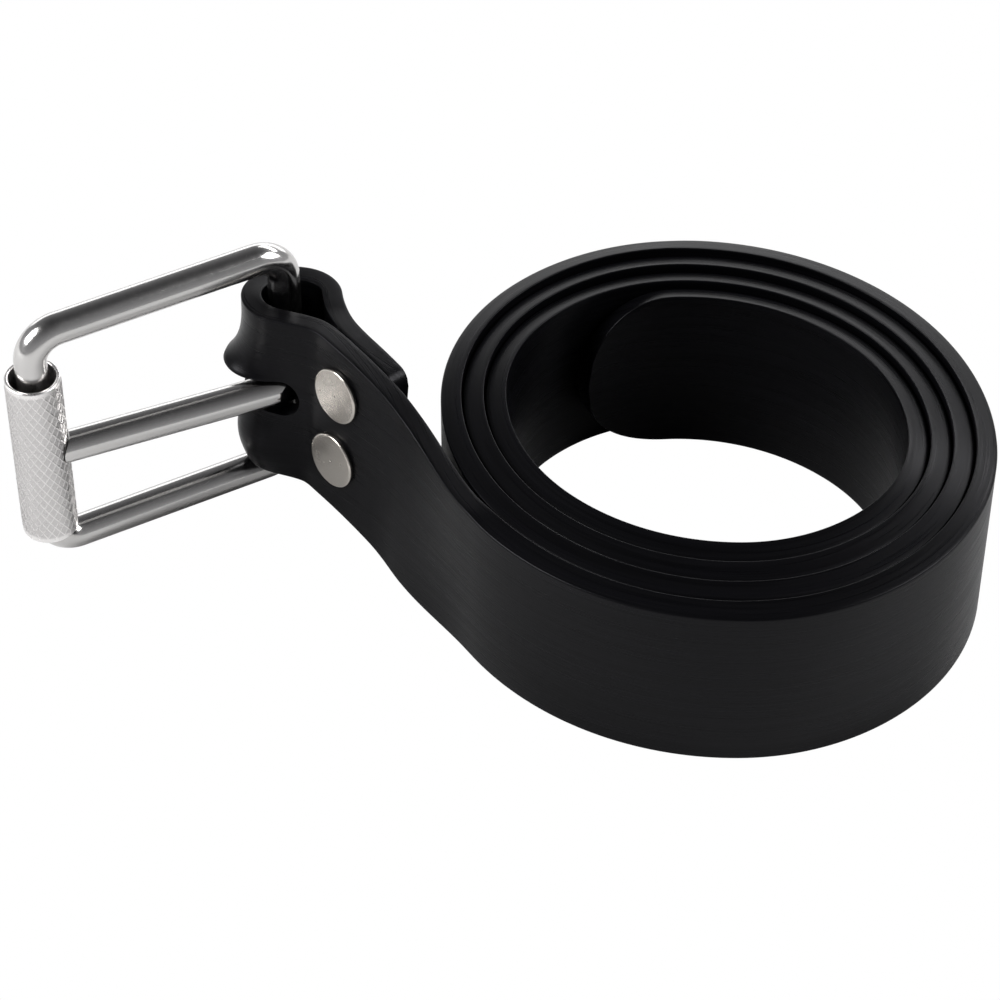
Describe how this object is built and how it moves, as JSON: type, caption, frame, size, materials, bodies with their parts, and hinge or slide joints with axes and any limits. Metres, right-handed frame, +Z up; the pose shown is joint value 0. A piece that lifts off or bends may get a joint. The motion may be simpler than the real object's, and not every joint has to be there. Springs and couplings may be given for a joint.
{
  "type": "weight belt",
  "caption": "Coiled black rubber dive weight belt with a steel wire buckle, a knurled roller, a swinging tongue and a riveted end loop.",
  "frame": {"origin": "middle of the footprint, on the floor the belt stands on", "axes": "+Z up along the strap's width, +X the long way from the buckle to the coil, +Y away from the buckle's open side"},
  "size_m": [0.2506, 0.1408, 0.0797],
  "materials": {
    "rubber": "satin, fine lengthwise streaks",
    "chrome": "polished stainless wire",
    "brushed_steel": "satin, roller with a diamond knurl"
  },
  "bodies": {
    "belt": {"strap": "rubber", "rivet_cap_upper": "brushed_steel", "rivet_post_upper": "brushed_steel", "rivet_cap_lower": "brushed_steel", "rivet_post_lower": "brushed_steel"},
    "buckle": {"buckle_frame": "chrome"},
    "roller_body": {"roller": "brushed_steel"},
    "tongue_body": {"tongue": "chrome"}
  },
  "joints": [
    {"name": "frame_swing", "type": "hinge", "parent": "belt", "child": "buckle", "pos_m": [-0.05597, 0.03594, 0.03985], "axis": [0, 0, 1], "range_deg": [-110, 0]},
    {"name": "roller_spin", "type": "hinge", "parent": "buckle", "child": "roller_body", "pos_m": [-0.11804, 0.00252, 0.0363], "axis": [0, 0, 1], "continuous": true},
    {"name": "tongue_swing", "type": "hinge", "parent": "buckle", "child": "tongue_body", "pos_m": [-0.05597, 0.03594, 0.0374], "axis": [0, 0, 1], "range_deg": [0, 19]}
  ]
}
